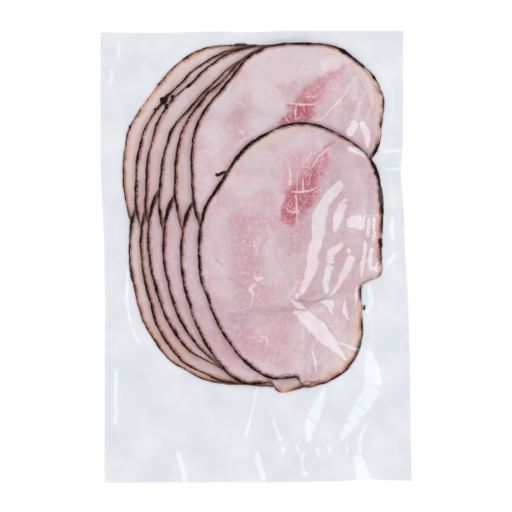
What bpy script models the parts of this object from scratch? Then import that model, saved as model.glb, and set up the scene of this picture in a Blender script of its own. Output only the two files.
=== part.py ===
"""A clear vacuum pouch drawn tight over twelve fanned slices of cooked ham, as one closed solid.

The pouch lies flat on a table with its long side along Y and +Z up. The origin is on the table, under the
middle of its outline. The slices lie in two fans of six, laid in turn: one of the upper fan (towards +Y), then
one of the lower fan (towards -Y), and so on up to the two whole faces on top. Each slice sags over the ones
below it, so the top of the pouch is worked out as one sum: every slice lifts the film by its own thickness, with
a steep step where its rim shows and a long soft slope where later slices bury that rim. Sizes are in millimetres.
"""

import math

import bmesh
import bpy
import numpy as np
from mathutils import Vector
from mathutils.geometry import delaunay_2d_cdt

MM = 0.001  # metres in a millimetre

# The pouch: two sheets welded all round, drawn a little out of square by the vacuum
POUCH_CORNERS = ((-98.5, -148.5), (102.0, -147.0), (96.5, 149.0), (-102.0, 147.5))
FILM = 0.5  # both sheets together, thicker than real film so that the solid holds
BORDER_STEP = 9.0  # spacing of the points along the pouch's edge
EDGE_RIPPLE = 0.6  # how far the cut edges wander from straight
EDGE_WAVES = 2.5  # how often they do it on each side
CLING = 22.0  # the margin lies flat beside the ham and is loose this far out
MARGIN_LIFT = 1.6  # how far the loose margin ripples up off the table
RIPPLES = ((0.3, 64.0, 22.0, 0.0), (0.2, -128.0, 80.0, 1.0))  # share, length in X and in Y, start

# The slices
THICKNESS = 1.25
STEP_RUN = 2.5  # the film comes down a showing rim over this distance
BURIED_RUN = 2.8  # and this much further for each slice that lies on the rim
RIND_WIDTH = 1.4
UPPER_CENTRE = (21.0, 55.5)
LOWER_CENTRE = (21.0, 3.0)
UPPER_OUTLINE = (
    (-42.5, 57.0), (-42.0, 75.5), (-38.0, 89.0), (-29.0, 103.0), (-17.0, 117.0), (-5.5, 131.0), (8.0, 138.0),
    (29.0, 140.5), (51.5, 138.5), (66.0, 129.5), (77.5, 119.0), (84.0, 104.5), (83.5, 93.0), (82.0, 76.5),
    (79.0, 68.5), (74.0, 60.0), (73.0, 44.0), (69.5, 11.0), (55.5, -19.0), (22.5, -32.0), (-10.5, -24.0),
    (-29.5, -3.5), (-37.0, 19.0), (-41.5, 37.0),
)  # fmt: skip
LOWER_OUTLINE = (
    (-38.0, 4.5), (-37.0, 17.5), (-34.0, 32.0), (-26.5, 44.0), (-18.5, 57.0), (-8.5, 70.5), (4.0, 79.5),
    (19.0, 86.0), (35.5, 87.5), (52.0, 82.0), (64.0, 74.5), (75.5, 65.0), (81.0, 53.5), (84.0, 30.5),
    (82.5, 4.5), (82.5, -12.0), (71.5, -18.0), (70.5, -35.0), (70.5, -48.5), (66.5, -63.0), (59.0, -74.0),
    (47.5, -82.0), (34.0, -86.0), (29.5, -84.0), (26.5, -80.0), (10.5, -80.5), (-4.0, -72.5), (-16.5, -59.0),
    (-25.5, -44.0), (-32.0, -28.0), (-37.0, -12.0),
)  # fmt: skip
# How far each slice is slid to the left of the whole one at the front of its fan, at three heights of the
# fan, and how far it is dropped. The first of each fan lies lowest in the pack.
UPPER_HEIGHTS = (20.0, 57.0, 129.0)
UPPER_SLIDES = (
    (44.0, 45.5, 41.0), (39.0, 37.0, 27.0), (33.0, 30.5, 21.0),
    (24.5, 20.5, 5.5), (12.0, 11.5, 2.5), (0.0, 0.0, 0.0),
)  # fmt: skip
UPPER_DROPS = (1.0, 1.5, 1.5, 1.0, 0.5, 0.0)
LOWER_HEIGHTS = (-68.0, 4.0, 31.0)
LOWER_SLIDES = (
    (46.0, 45.5, 46.5), (39.0, 38.0, 39.5), (31.5, 32.5, 34.0),
    (22.5, 23.5, 23.5), (12.0, 12.0, 11.0), (0.0, 0.0, 0.0),
)  # fmt: skip
LOWER_DROPS = (2.0, 2.5, -4.5, -2.0, 3.5, 0.0)

# How finely the solid is meshed
CURVE_STEPS = 12  # points on each span of a whole outline's curve
SLOPE_TURN = 0.05  # radians each way over which an outline's slope is measured
RIM_POINTS = 140  # points round each slice's rim
GRID_STEP = 4.8  # spacing of the points between the rims
UNDER_STEP = 12.0  # spacing of the points of the underside
NEAREST = 1.8  # points of the grid keep this clear of the rims
MERGE = 0.5  # rim points closer than this become one
HIDDEN = 0.8  # a rim under more than this share of a later slice doesn't show
SMOOTH_ANGLE = 35.0  # degrees between faces, below which they are shaded as one surface

FILM_COLOUR = (0.80, 0.83, 0.86, 1.0)
HAM_COLOUR = (0.66, 0.42, 0.45, 1.0)
RIND_COLOUR = (0.05, 0.02, 0.012, 1.0)


def clear_scene():
    for thing in list(bpy.data.objects):
        bpy.data.objects.remove(thing)


def ease(share):
    """0 below 0, 1 above 1, and an S curve between."""
    share = np.clip(share, 0.0, 1.0)
    return share * share * (3.0 - 2.0 * share)


def closed_curve(points):
    """A smooth closed curve through the points (Catmull-Rom), as an array of points."""
    points = np.array(points, float)
    before, after, beyond = (np.roll(points, shift, 0) for shift in (1, -1, -2))
    spans = []
    for t in np.arange(CURVE_STEPS) / CURVE_STEPS:
        bend = before - 2.5 * points + 2.0 * after - 0.5 * beyond
        twist = 1.5 * (points - after) + 0.5 * (beyond - before)
        spans.append(points + 0.5 * t * (after - before) + t**2 * bend + t**3 * twist)
    return np.stack(spans, 1).reshape(-1, 2)


class Outline:
    """The rim of a whole slice, kept as its distance from a centre in each direction."""

    def __init__(self, points, centre):
        self.centre = np.array(centre)
        arms = closed_curve(points) - self.centre
        angles = np.arctan2(arms[:, 1], arms[:, 0])
        order = np.argsort(angles)
        self.angles = angles[order]
        self.reaches = np.hypot(arms[order, 0], arms[order, 1])

    def reach(self, angle):
        return np.interp(angle, self.angles, self.reaches, period=2 * math.pi)

    def rim(self, count):
        angle = np.linspace(-math.pi, math.pi, count, endpoint=False)
        return self.centre + self.reach(angle)[:, None] * np.stack([np.cos(angle), np.sin(angle)], 1)

    def depth(self, x, y):
        """How far inside the rim a point is, negative outside it."""
        along, up = x - self.centre[0], y - self.centre[1]
        angle, away = np.arctan2(up, along), np.hypot(along, up)
        reach = self.reach(angle)
        slope = (self.reach(angle + SLOPE_TURN) - self.reach(angle - SLOPE_TURN)) / (2 * SLOPE_TURN)
        return (reach - away) * reach / np.hypot(reach, slope)


class Slice:
    """One slice: its fan's whole outline, slid to the left and dropped."""

    def __init__(self, outline, heights, slides, drop):
        self.outline, self.heights, self.slides, self.drop = outline, heights, slides, drop

    def slide(self, y):
        low, middle, high = self.heights
        foot, waist, head = self.slides
        below, above = ease((y - low) / (middle - low)), ease((y - middle) / (high - middle))
        return foot + (waist - foot) * below + (head - waist) * above

    def depth(self, x, y):
        return self.outline.depth(x + self.slide(y + self.drop), y + self.drop)

    def rim(self, count, outwards=0.0):
        """Points round the rim, or round a line that runs outside it."""
        points = self.outline.rim(count)
        along = np.roll(points, -1, 0) - np.roll(points, 1, 0)
        along /= np.hypot(along[:, 0], along[:, 1])[:, None]
        points = points + outwards * np.stack([along[:, 1], -along[:, 0]], 1)
        return np.stack([points[:, 0] - self.slide(points[:, 1]), points[:, 1] - self.drop], 1)


def laid_slices():
    """The twelve slices in the order they were laid, lowest first."""
    upper = Outline(UPPER_OUTLINE, UPPER_CENTRE)
    lower = Outline(LOWER_OUTLINE, LOWER_CENTRE)
    laid = []
    for turn in range(len(UPPER_SLIDES)):
        laid.append(Slice(upper, UPPER_HEIGHTS, UPPER_SLIDES[turn], UPPER_DROPS[turn]))
        laid.append(Slice(lower, LOWER_HEIGHTS, LOWER_SLIDES[turn], LOWER_DROPS[turn]))
    return laid


def pile_height(slices, x, y):
    """How high the slices lift the film at each point."""
    height, buried = np.zeros_like(x), np.zeros_like(x)
    for laid in reversed(slices):
        depth = laid.depth(x, y)
        height += THICKNESS * ease(1.0 + depth / (STEP_RUN + BURIED_RUN * buried))
        buried += ease(1.0 + depth / STEP_RUN)
    return height


def margin_lift(slices, x, y):
    """How high the loose margin's underside ripples. It is 0 under and beside the slices."""
    nearest = np.max([laid.depth(x, y) for laid in slices], 0)
    loose = ease((-nearest - STEP_RUN) / CLING)
    waves = 0.5
    for share, wide, long, start in RIPPLES:
        waves = waves + share * np.sin(2 * math.pi * (x / wide + y / long) + start)
    return MARGIN_LIFT * loose * waves


def pouch_sides():
    return zip(POUCH_CORNERS, POUCH_CORNERS[1:] + POUCH_CORNERS[:1])


def pouch_border():
    """Points round the pouch's cut edge, anticlockwise."""
    points = []
    for corner, following in pouch_sides():
        start, side = Vector(corner), Vector(following) - Vector(corner)
        across = Vector((side.y, -side.x)).normalized()
        steps = round(side.length / BORDER_STEP)
        for step in range(steps):
            share = step / steps
            ripple = EDGE_RIPPLE * math.sin(math.pi * share) * math.sin(2 * math.pi * EDGE_WAVES * share)
            points.append(start + side * share + across * ripple)
    return np.array(points)


def inside_pouch(points, clearance):
    """Which points are inside the pouch's edge by at least the clearance."""
    inside = np.ones(len(points), bool)
    for corner, following in pouch_sides():
        side = np.array(following) - np.array(corner)
        inwards = np.array((-side[1], side[0])) / math.hypot(*side)
        inside &= (points - np.array(corner)) @ inwards > clearance
    return inside


def showing_edges(slices, first):
    """The rims and the feet of their steps where no later slice hides them, as points and pairs of their numbers."""
    points, edges = [], []
    for number, laid in enumerate(slices):
        for outwards in (0.0, STEP_RUN):
            rim = laid.rim(RIM_POINTS, outwards)
            cover = np.zeros(len(rim))
            for later in slices[number + 1 :]:
                cover = np.maximum(cover, ease(1.0 + later.depth(rim[:, 0], rim[:, 1]) / STEP_RUN))
            shows = cover < HIDDEN
            for here in range(len(rim)):
                following = (here + 1) % len(rim)
                if shows[here] and shows[following]:
                    edges.append((first + len(points), first + len(points) + 1))
                    points += [rim[here], rim[following]]
    return np.array(points), edges


def grid_points(step, avoid=None):
    """Evenly spread points inside the pouch that keep clear of the points to avoid."""
    low, high = np.min(POUCH_CORNERS, 0), np.max(POUCH_CORNERS, 0)
    rows = []
    for row, y in enumerate(np.arange(low[1], high[1], step)):
        x = np.arange(low[0] + 0.5 * step * (row % 2), high[0], step)
        rows.append(np.stack([x, np.full_like(x, y)], 1))
    grid = np.concatenate(rows)
    grid = grid[inside_pouch(grid, 0.5 * step)]
    if avoid is None:
        return grid
    gaps = grid[:, None] - avoid[None]
    return grid[np.min(np.hypot(gaps[..., 0], gaps[..., 1]), 1) > NEAREST]


def triangulate(border, points, edges):
    """The border filled with triangles that use the points and keep the edges."""
    places = [Vector(place) for place in np.concatenate([border, points])]
    round_border = [(here, (here + 1) % len(border)) for here in range(len(border))]
    made = delaunay_2d_cdt(places, round_border + edges, [], 1, MERGE)
    return np.array([tuple(place) for place in made[0]]), made[2]


def add_sheet(mesh, flat, faces, heights, upwards):
    """Adds one face of the pouch to the mesh, and returns its outer edges."""
    corners = [mesh.verts.new((x * MM, y * MM, z * MM)) for (x, y), z in zip(flat, heights)]
    made = [mesh.faces.new([corners[i] for i in (face if upwards else reversed(face))]) for face in faces]
    return [edge for face in made for edge in face.edges if len(edge.link_faces) == 1]


def paint(mesh, slices):
    """Gives the ham and the rinds that show their own materials, after the film's."""
    centres = np.array([face.calc_center_median() for face in mesh.faces]) / MM
    top = np.array([face.normal.z > 0 for face in mesh.faces]) & (centres[:, 2] > FILM)
    slot, hidden = np.zeros(len(centres), int), ~top
    for laid in reversed(slices):
        depth = laid.depth(centres[:, 0], centres[:, 1])
        slot[~hidden & (depth > 0)] = 1
        slot[~hidden & (np.abs(depth + 0.5 * RIND_WIDTH) < RIND_WIDTH)] = 2
        hidden |= depth > -STEP_RUN
    for face, number in zip(mesh.faces, slot):
        face.material_index = int(number)


def finish_material(name, colour, roughness):
    material = bpy.data.materials.new(name)
    material.use_nodes = True
    shader = material.node_tree.nodes["Principled BSDF"]
    shader.inputs["Base Color"].default_value = colour
    shader.inputs["Roughness"].default_value = roughness
    shader.inputs["Metallic"].default_value = 0.0
    material.diffuse_color = colour
    return material


def pouch_mesh():
    """The closed solid: the film over the slices, the flat sheet below and the wall that joins their edges."""
    slices = laid_slices()
    border = pouch_border()
    rim_points, rim_edges = showing_edges(slices, len(border))
    inner = np.concatenate([rim_points, grid_points(GRID_STEP, rim_points)])
    top, top_faces = triangulate(border, inner, rim_edges)
    under, under_faces = triangulate(border, grid_points(UNDER_STEP), [])
    print(f"{len(slices)} slices, {len(rim_edges)} edges along their rims")

    mesh = bmesh.new()
    top_heights = margin_lift(slices, *top.T) + FILM + pile_height(slices, *top.T)
    seam = add_sheet(mesh, top, top_faces, top_heights, True)
    seam += add_sheet(mesh, under, under_faces, margin_lift(slices, *under.T), False)
    bmesh.ops.bridge_loops(mesh, edges=seam)
    bmesh.ops.triangulate(mesh, faces=mesh.faces)
    bmesh.ops.recalc_face_normals(mesh, faces=mesh.faces)
    mesh.normal_update()
    paint(mesh, slices)
    return mesh


def build_pouch():
    shape = bpy.data.meshes.new("sealed_pouch")
    mesh = pouch_mesh()
    mesh.to_mesh(shape)
    mesh.free()
    shape.materials.append(finish_material("clear_film", FILM_COLOUR, 0.12))
    shape.materials.append(finish_material("cooked_ham", HAM_COLOUR, 0.35))
    shape.materials.append(finish_material("dark_rind", RIND_COLOUR, 0.5))
    shape.shade_smooth()
    shape.set_sharp_from_angle(angle=math.radians(SMOOTH_ANGLE))
    pouch = bpy.data.objects.new("sealed_pouch", shape)
    bpy.context.scene.collection.objects.link(pouch)
    print(f"sealed_pouch: {len(shape.polygons)} triangles")


clear_scene()
build_pouch()
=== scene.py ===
# %% [markdown]
# # A vacuum pack of sliced ham
#
# The real pack is a clear pouch, about 200 by 300 millimetres, that a machine has pumped empty and welded
# shut over twelve slices of smoked ham. The slices lie in two fans that were laid in turn, so that the
# rims of one fan cross those of the other, and the film is sucked down over all of them. This lesson
# dresses the imported solid of that pouch: first the twelve slices as soft draped discs, then the film over
# them, then light that shows the film's gloss. All sizes are in millimetres and become metres only where
# a mesh is written.

# %% Load the imported solid
import math

import bpy
import numpy as np
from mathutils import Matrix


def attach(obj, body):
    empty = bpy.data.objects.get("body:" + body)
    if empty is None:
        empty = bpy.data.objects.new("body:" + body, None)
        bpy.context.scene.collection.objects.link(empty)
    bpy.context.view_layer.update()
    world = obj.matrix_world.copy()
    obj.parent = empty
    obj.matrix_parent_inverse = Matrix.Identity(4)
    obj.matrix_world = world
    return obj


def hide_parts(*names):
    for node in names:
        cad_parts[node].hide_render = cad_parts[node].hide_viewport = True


MM = 0.001  # metres in a millimetre

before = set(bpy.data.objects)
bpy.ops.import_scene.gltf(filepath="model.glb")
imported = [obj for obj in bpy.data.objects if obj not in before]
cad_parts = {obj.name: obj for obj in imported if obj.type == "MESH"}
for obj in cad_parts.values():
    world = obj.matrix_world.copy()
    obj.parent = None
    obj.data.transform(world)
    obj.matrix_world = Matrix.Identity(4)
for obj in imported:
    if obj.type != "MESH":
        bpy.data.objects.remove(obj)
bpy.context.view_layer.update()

# %% [markdown]
# ## Helpers
#
# A Blender operator acts on all that is selected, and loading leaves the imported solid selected. So every
# piece starts by letting go of everything. The other helpers read and write a mesh as rows of places,
# ease between two levels along an S curve, and make what this pack is full of: smooth unevenness for
# meat, flat facets for crushed film, and strokes with soft edges for whatever runs along a line.


# %% Selecting, reading and writing
def let_go():
    """Leaves edit mode and selects nothing."""
    if bpy.context.object and bpy.context.object.mode != "OBJECT":
        bpy.ops.object.mode_set(mode="OBJECT")
    bpy.ops.object.select_all(action="DESELECT")


def take(piece):
    """Selects one piece alone and makes it the active one."""
    let_go()
    piece.select_set(True)
    bpy.context.view_layer.objects.active = piece


def choose_faces(piece, wanted):
    """Goes into edit mode with just the faces selected that a test of all centres and normals wants."""
    bpy.ops.object.mode_set(mode="EDIT")
    bpy.ops.mesh.select_mode(type="FACE")
    bpy.ops.mesh.select_all(action="DESELECT")
    bpy.ops.object.mode_set(mode="OBJECT")
    faces = piece.data.polygons
    centres, normals = np.empty(len(faces) * 3), np.empty(len(faces) * 3)
    faces.foreach_get("center", centres)
    faces.foreach_get("normal", normals)
    faces.foreach_set("select", wanted(centres.reshape(-1, 3), normals.reshape(-1, 3)))
    bpy.ops.object.mode_set(mode="EDIT")


def add_modifier(piece, kind, **settings):
    """Adds a modifier with its settings and applies it."""
    modifier = piece.modifiers.new(kind.lower(), kind)
    for name, value in settings.items():
        setattr(modifier, name, value)
    bpy.context.view_layer.objects.active = piece
    bpy.ops.object.modifier_apply(modifier=modifier.name)


def read_places(mesh):
    """The vertices, as rows of x, y and z in the mesh's own unit."""
    flat = np.empty(len(mesh.vertices) * 3)
    mesh.vertices.foreach_get("co", flat)
    return flat.reshape(-1, 3)


def write_places(mesh, x, y, z):
    """Puts the vertices at places given in millimetres."""
    mesh.vertices.foreach_set("co", (np.stack([x, y, z], 1) * MM).ravel())
    mesh.update()


def keep_value(mesh, name, values):
    """Stores one number for each vertex, for a material to read."""
    mesh.attributes.new(name, "FLOAT", "POINT").data.foreach_set("value", np.asarray(values, np.float32))


def name_piece(piece, name, material):
    """Names a finished piece, dresses it and lets it ride with the pack."""
    piece.name = piece.data.name = name
    piece.data.materials.clear()
    piece.data.materials.append(material)
    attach(piece, "root")
    print(f"{name}: {len(piece.data.polygons)} faces")


# %% Smooth steps, smooth noise and brush strokes
NOISE_CELLS = 64  # after this many cells the unevenness repeats
FACET_BEND = 0.3  # how far a facet's corners wander, as a share of its size
FAR_OUTSIDE = -1e3  # the depth of a point that lies in nothing
RAGGED_SIZE = 3.0  # the size of the ins and outs along a brushed edge


def ease(share):
    """0 below 0, 1 above 1, and an S curve between."""
    share = np.clip(share, 0.0, 1.0)
    return share * share * (3.0 - 2.0 * share)


def lattice(x, y, size, seed):
    """For a square lattice with a random height at each crossing: the place inside each point's square, and
    the heights at its four corners, from lower left to upper right."""
    heights = np.random.default_rng(seed).uniform(-1, 1, (NOISE_CELLS, NOISE_CELLS))
    x, y = x / size, y / size
    left, low = np.floor(x).astype(int), np.floor(y).astype(int)
    corners = []
    for right, up in ((0, 0), (1, 0), (0, 1), (1, 1)):
        corners.append(heights[(left + right) % NOISE_CELLS, (low + up) % NOISE_CELLS])
    return x - left, y - low, corners


def rolling(x, y, size, seed):
    """Smooth unevenness between -1 and 1 whose bumps are about one size across."""
    across, up, corners = lattice(x, y, size, seed)
    across, up = ease(across), ease(up)
    lower = corners[0] * (1 - across) + corners[1] * across
    upper = corners[2] * (1 - across) + corners[3] * across
    return lower * (1 - up) + upper * up


def crushed(x, y, size, seed):
    """Unevenness between -1 and 1 in flat triangles with creases between them, as in crushed film."""
    bend_x, bend_y = (FACET_BEND * size * rolling(x, y, 2 * size, seed + more) for more in (1, 2))
    across, up, corners = lattice(x + bend_x, y + bend_y, size, seed)
    lower = corners[0] + across * (corners[1] - corners[0]) + up * (corners[3] - corners[1])
    upper = corners[0] + up * (corners[2] - corners[0]) + across * (corners[3] - corners[2])
    return np.where(across > up, lower, upper)


def along_stroke(x, y, stroke):
    """For each point: how deep it lies in a stroke of (x, y, half width) stations, how far along x it is
    from the stroke's middle line, and where along the stroke it is, counted in stations."""
    depth, side, station = np.full_like(x, FAR_OUTSIDE), np.zeros_like(x), np.zeros_like(x)
    for number, (first, last) in enumerate(zip(stroke, stroke[1:])):
        run, rise = last[0] - first[0], last[1] - first[1]
        length = math.hypot(run, rise)
        share = np.clip(((x - first[0]) * run + (y - first[1]) * rise) / length**2, 0, 1)
        away_x, away_y = x - first[0] - share * run, y - first[1] - share * rise
        inside = first[2] + (last[2] - first[2]) * share - np.hypot(away_x, away_y)
        nearer = inside > depth
        depth = np.where(nearer, inside, depth)
        side = np.where(nearer, away_x, side)
        station = np.where(nearer, number + share, station)
    return depth, side, station


def deepest(x, y, strokes):
    """How deep each point lies in the stroke that it lies deepest in."""
    return np.max([along_stroke(x, y, stroke)[0] for stroke in strokes], 0)


def brushed(x, y, strokes, soft, ragged=0.0, seed=0, trim=0.0):
    """A mask that is 1 inside any of the strokes, with soft and ragged edges, and trimmed all round."""
    grown = ragged * rolling(x, y, RAGGED_SIZE, seed) - trim
    return ease((deepest(x, y, strokes) + grown) / soft + 0.5)


# %% [markdown]
# ## How the slices lie
#
# All six slices of a fan come off one ham one after the other, so they share one outline. The whole slice
# at the front shows that outline; the others are the same outline, slid to the left and moved a little up
# or down the table. Only the last two slices of the lower fan have a torn flap at the bottom. Their
# heights could come from a cloth simulation, but twelve sheets of cloth in contact tremble and poke
# through each other. Here the pile is a sum instead: each slice lifts what lies on it by its own
# thickness, with a steep step at a rim that shows and a longer, softer slope at a rim that other slices
# bury. The sum can never make two slices cross.

# %% The outlines of the two whole slices
THICKNESS = 1.25  # what each slice adds to the pile
STEP_RUN = 2.5  # a film comes down a showing rim over this distance
BURIED_RUN = 2.8  # and this much further for each slice that lies on the rim
CURVE_STEPS = 12  # points on each span of an outline's curve
SLOPE_TURN = 0.05  # radians each way over which an outline's slope is measured

UPPER_CENTRE, LOWER_CENTRE = (21.0, 55.5), (21.0, 3.0)
UPPER_OUTLINE = (
    (-42.5, 57.0), (-42.0, 75.5), (-38.0, 89.0), (-29.0, 103.0), (-17.0, 117.0), (-5.5, 131.0), (8.0, 138.0),
    (29.0, 140.5), (51.5, 138.5), (66.0, 129.5), (77.5, 119.0), (84.0, 104.5), (83.5, 93.0), (82.0, 76.5),
    (79.0, 68.5), (74.0, 60.0), (73.0, 44.0), (69.5, 11.0), (55.5, -19.0), (22.5, -32.0), (-10.5, -24.0),
    (-29.5, -3.5), (-37.0, 19.0), (-41.5, 37.0),
)  # fmt: skip
LOWER_OUTLINE = (
    (-38.0, 4.5), (-37.0, 17.5), (-34.0, 32.0), (-26.5, 44.0), (-18.5, 57.0), (-8.5, 70.5), (4.0, 79.5),
    (19.0, 86.0), (35.5, 87.5), (52.0, 82.0), (64.0, 74.5), (75.5, 65.0), (81.0, 53.5), (84.0, 30.5),
    (82.5, 4.5), (82.5, -12.0), (70.2, -18.5), (70.0, -35.0), (70.5, -48.5), (67.2, -63.4), (59.9, -74.9),
    (47.8, -82.6), (34.0, -86.0), (29.5, -84.0), (26.5, -80.0), (10.5, -80.5), (-4.0, -72.5), (-16.5, -59.0),
    (-25.5, -44.0), (-32.0, -28.0), (-37.0, -12.0),
)  # fmt: skip


class Outline:
    """The rim of a whole slice, kept as its distance from a centre in each direction."""

    def __init__(self, points, centre):
        points = np.array(points, float)
        before, after, beyond = (np.roll(points, shift, 0) for shift in (1, -1, -2))
        spans = []
        for share in np.arange(CURVE_STEPS) / CURVE_STEPS:  # a Catmull-Rom curve through all points
            bend = before - 2.5 * points + 2.0 * after - 0.5 * beyond
            twist = 1.5 * (points - after) + 0.5 * (beyond - before)
            spans.append(points + 0.5 * share * (after - before) + share**2 * bend + share**3 * twist)
        self.centre = np.array(centre)
        arms = np.stack(spans, 1).reshape(-1, 2) - self.centre
        angles = np.arctan2(arms[:, 1], arms[:, 0])
        order = np.argsort(angles)
        self.angles, self.reaches = angles[order], np.hypot(arms[order, 0], arms[order, 1])

    def reach(self, angle):
        return np.interp(angle, self.angles, self.reaches, period=2 * math.pi)

    def depth(self, x, y):
        """How far inside the rim a point is, negative outside it."""
        along, up = x - self.centre[0], y - self.centre[1]
        angle, away = np.arctan2(up, along), np.hypot(along, up)
        reach = self.reach(angle)
        slope = (self.reach(angle + SLOPE_TURN) - self.reach(angle - SLOPE_TURN)) / (2 * SLOPE_TURN)
        return (reach - away) * reach / np.hypot(reach, slope)


LOWER_FLAP = ((34.0, -86.0), (29.5, -84.0), (26.5, -80.0))
upper_outline = Outline(UPPER_OUTLINE, UPPER_CENTRE)
flapped_outline = Outline(LOWER_OUTLINE, LOWER_CENTRE)
lower_outline = Outline([point for point in LOWER_OUTLINE if point not in LOWER_FLAP], LOWER_CENTRE)
furthest = [round(float(outline.reaches.max()), 1) for outline in (upper_outline, flapped_outline)]
print("whole slices reach", *furthest, "mm from their centres")

# %% The slides that fan the slices out: for each slice, lowest first, its slide at each height
# Drops are how far each slice is moved down the table.
UPPER_HEIGHTS = (20.0, 57.0, 80.0, 105.0, 120.0, 134.0)
UPPER_SLIDES = (
    (44.0, 45.2, 43.9, 43.6, 45.3, 42.0), (39.0, 36.9, 34.2, 33.0, 31.5, 24.5),
    (33.0, 29.9, 27.0, 28.0, 23.8, 19.5), (24.5, 20.3, 16.3, 11.0, 9.0, 3.0),
    (12.0, 11.1, 8.6, 7.0, 4.4, 1.5), (0.0,) * 6,
)  # fmt: skip
UPPER_DROPS = (1.0, 1.5, 1.5, 1.0, 0.5, 0.0)
LOWER_HEIGHTS = (-78.0, -66.0, -44.0, -14.0, 31.0)
LOWER_SLIDES = (
    (40.5, 46.4, 47.4, 45.2, 46.5), (30.5, 39.2, 39.5, 37.0, 39.5), (26.5, 34.5, 34.5, 32.7, 34.0),
    (20.5, 23.0, 25.0, 23.0, 23.5), (17.0, 14.2, 13.0, 11.4, 11.8), (0.0,) * 5,
)  # fmt: skip
LOWER_DROPS = (2.0, 2.5, -4.5, -2.0, 3.5, 0.0)


class Slice:
    """One slice: its fan's outline, slid to the left by an amount that changes with height, and dropped."""

    def __init__(self, name, outline, heights, slides, drop):
        self.name, self.outline = name, outline
        self.heights, self.slides, self.drop = heights, slides, drop

    def slide(self, y):
        """How far the slice is slid to the left at a height."""
        total = self.slides[0]
        for low, high, below, above in zip(self.heights, self.heights[1:], self.slides, self.slides[1:]):
            total = total + (above - below) * ease((y - low) / (high - low))
        return total

    def depth(self, x, y):
        """How far inside the slice's rim a point of the pack is."""
        return self.outline.depth(x + self.slide(y + self.drop), y + self.drop)


FLAPPED = 4  # turns after which the lower slices have the flap
slices = []
for turn in range(len(UPPER_SLIDES)):
    rim = flapped_outline if turn >= FLAPPED else lower_outline
    upper = (upper_outline, UPPER_HEIGHTS, UPPER_SLIDES[turn], UPPER_DROPS[turn])
    lower = (rim, LOWER_HEIGHTS, LOWER_SLIDES[turn], LOWER_DROPS[turn])
    slices.append(Slice(f"slice_upper_{turn + 1}", *upper))
    slices.append(Slice(f"slice_lower_{turn + 1}", *lower))
print(len(slices), "slices, lowest first:", ", ".join(laid.name for laid in slices))


# %% How high the pile stands under anything laid on it
def pile_height(pile, x, y, cover=0.0, spread=0.0):
    """The height that the slices of a pile lift something at each point. Cover counts the slices already on
    top, and spread widens every step for something that bridges more than a slice does."""
    height, buried = np.zeros_like(x), np.full_like(x, cover)
    for laid in reversed(pile):
        depth = laid.depth(x, y)
        height += THICKNESS * ease(1.0 + depth / (STEP_RUN + spread + BURIED_RUN * buried))
        buried += ease(1.0 + depth / STEP_RUN)
    return height


# %% [markdown]
# ## The look of ham
#
# Cooked ham isn't one pink. Pale lilac muscle, pinker muscle and creamy fat meet along seams; one muscle
# stays deep rose with a net of fine veins; under the rind runs an orange-tinged band of fat, and the
# smoked rind is nearly black. A painted image would do it, but it can't be reused at another size. So
# each slice carries a few soft masks, brushed onto its vertices in the slice's own plane, and the
# material breaks them up with noise of several sizes. The masks are strokes: a few stations of a line,
# each with its half width. Rose, deep, pink and pale say what the muscle is like, and beige is fat.
# Smoked and amber are where smoke has stained a left rim and a right one. Thick, golden and bare change
# the rind.

# %% Where the muscles and the smoke lie, in the plane of each fan's whole slice
UPPER_MASKS = {
    "rose": [((59, 125, 0.5), (46, 117, 2.4), (37, 107, 6.0), (30, 96, 9.0), (22, 86, 6.0))],
    "deep": [((34, 100, 4.0), (29, 94, 7.0), (25, 88, 6.5))],
    "pink": [
        ((-10, 120, 5.0), (-9, 106, 8.0), (-4, 98, 4.0)),
        ((-17, 86, 5.0), (-10, 82, 7.0)),
        ((58, 116, 4.0), (40, 100, 9.0), (20, 84, 6.0)),
        ((-34, 70, 4.0), (-28, 52, 5.0), (-22, 30, 4.0)),
    ],
    "pale": [
        ((-24, 96, 7.0), (-2, 128, 9.0), (16, 126, 13.0), (50, 130, 8.0)),
        ((0, 114, 10.0), (8, 100, 11.0), (2, 84, 8.0)),
        ((-26, 84, 8.0), (-32, 60, 6.0), (-30, 40, 5.0)),
    ],
    "thick": [
        ((54, 137.5, 1.5), (62, 132.5, 2.5), (70, 126, 1.5)),
        ((80, 72, 1), (78, 68, 1)),
        ((24, 140, 1), (34, 140, 1)),
    ],
    "smoked": [((-42, 20, 4), (-42, 60, 5), (-40, 90, 6), (-20, 118, 6), (8, 139, 4))],
    "amber": [((36, 139, 0.0), (52, 137, 0.5), (60, 132, 1.0), (66, 126, 1.0), (74, 119, 0.0))],
    "beige": [((46, 137, 2.5), (64, 129, 4.0), (75, 115, 5.0), (81, 100, 4.5), (80, 84, 3.0))],
    "golden": [((-31, 100, 2.5), (-25, 108, 3.0), (-22, 112, 2.0))],
    "bare": [((72, 124, 0.5), (83, 108, 1.0), (83, 90, 1.0), (81, 74, 0.5))],
}
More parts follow.
